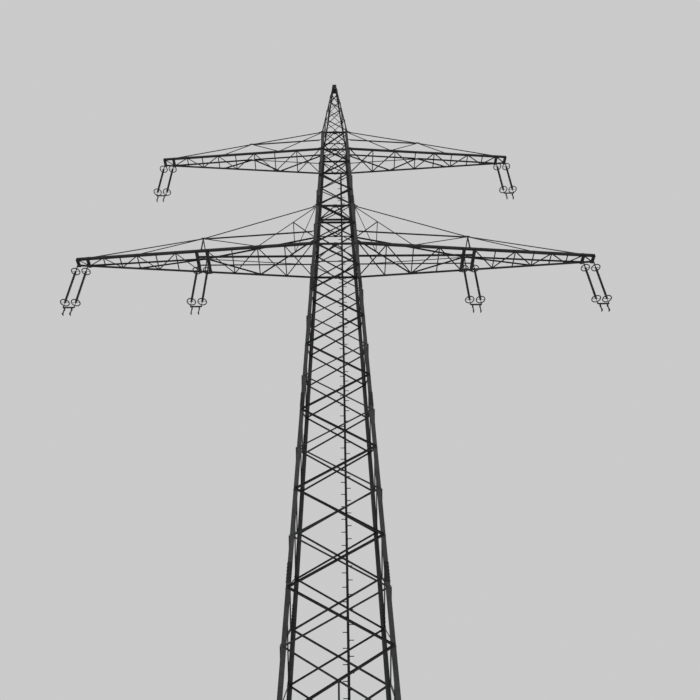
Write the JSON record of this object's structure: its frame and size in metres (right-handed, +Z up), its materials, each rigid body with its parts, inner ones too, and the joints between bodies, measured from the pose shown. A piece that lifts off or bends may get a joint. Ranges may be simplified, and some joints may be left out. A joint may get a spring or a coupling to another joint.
{
  "type": "lattice transmission tower, scale model 1:2",
  "caption": "Square lattice suspension tower with a pointed peak, two crossarms, double long-rod insulator strings that swing, and clamps for bundled conductors.",
  "frame": {"origin": "middle of the underside of the front left pier head", "axes": "+X along the crossarms to the right, +Y along the line away from the viewer, +Z up"},
  "size_m": [15.266, 2.7442, 28.302],
  "materials": {
    "steel": "dull galvanised steel",
    "insulator": "dark glazed porcelain with metal caps",
    "fittings": "galvanised forgings",
    "concrete": "cast concrete"
  },
  "bodies": {
    "tower": {"bracing_back": "steel", "bracing_front": "steel", "bracing_left": "steel", "bracing_right": "steel", "climbing_rail": "steel", "diaphragms": "steel", "footings": "concrete", "hanger_ties": "steel", "leg_back_left": "steel", "leg_back_right": "steel", "leg_front_left": "steel", "leg_front_right": "steel", "lower_left_beams": "steel", "lower_left_bottom_bracing": "steel", "lower_left_chords": "steel", "lower_left_trusses": "steel", "lower_right_beams": "steel", "lower_right_bottom_bracing": "steel", "lower_right_chords": "steel", "lower_right_trusses": "steel", "peak_bracing": "steel", "peak_cap": "steel", "peak_legs": "steel", "upper_left_beams": "steel", "upper_left_bottom_bracing": "steel", "upper_left_chords": "steel", "upper_left_trusses": "steel", "upper_right_beams": "steel", "upper_right_bottom_bracing": "steel", "upper_right_chords": "steel", "upper_right_trusses": "steel", "walkway": "steel"},
    "string_lower_left_outer": {"rods_lower_left_outer": "insulator", "yoke_lower_left_outer": "fittings"},
    "string_lower_left_inner": {"rods_lower_left_inner": "insulator", "yoke_lower_left_inner": "fittings"},
    "string_lower_right_inner": {"rods_lower_right_inner": "insulator", "yoke_lower_right_inner": "fittings"},
    "string_lower_right_outer": {"rods_lower_right_outer": "insulator", "yoke_lower_right_outer": "fittings"},
    "string_upper_left": {"rods_upper_left": "insulator", "yoke_upper_left": "fittings"},
    "string_upper_right": {"rods_upper_right": "insulator", "yoke_upper_right": "fittings"}
  },
  "joints": [
    {"name": "swing_lower_left_outer", "type": "hinge", "parent": "tower", "child": "string_lower_left_outer", "pos_m": [-6.1979, 1.1521, 17.584], "axis": [1, 0, 0], "range_deg": [-35, 35]},
    {"name": "swing_lower_left_inner", "type": "hinge", "parent": "tower", "child": "string_lower_left_inner", "pos_m": [-2.6979, 1.1521, 17.584], "axis": [1, 0, 0], "range_deg": [-35, 35]},
    {"name": "swing_lower_right_inner", "type": "hinge", "parent": "tower", "child": "string_lower_right_inner", "pos_m": [5.0021, 1.1521, 17.584], "axis": [1, 0, 0], "range_deg": [-35, 35]},
    {"name": "swing_lower_right_outer", "type": "hinge", "parent": "tower", "child": "string_lower_right_outer", "pos_m": [8.5021, 1.1521, 17.584], "axis": [1, 0, 0], "range_deg": [-35, 35]},
    {"name": "swing_upper_left", "type": "hinge", "parent": "tower", "child": "string_upper_left", "pos_m": [-4.4329, 1.1521, 22.894], "axis": [1, 0, 0], "range_deg": [-35, 35]},
    {"name": "swing_upper_right", "type": "hinge", "parent": "tower", "child": "string_upper_right", "pos_m": [6.7371, 1.1521, 22.894], "axis": [1, 0, 0], "range_deg": [-35, 35]}
  ]
}
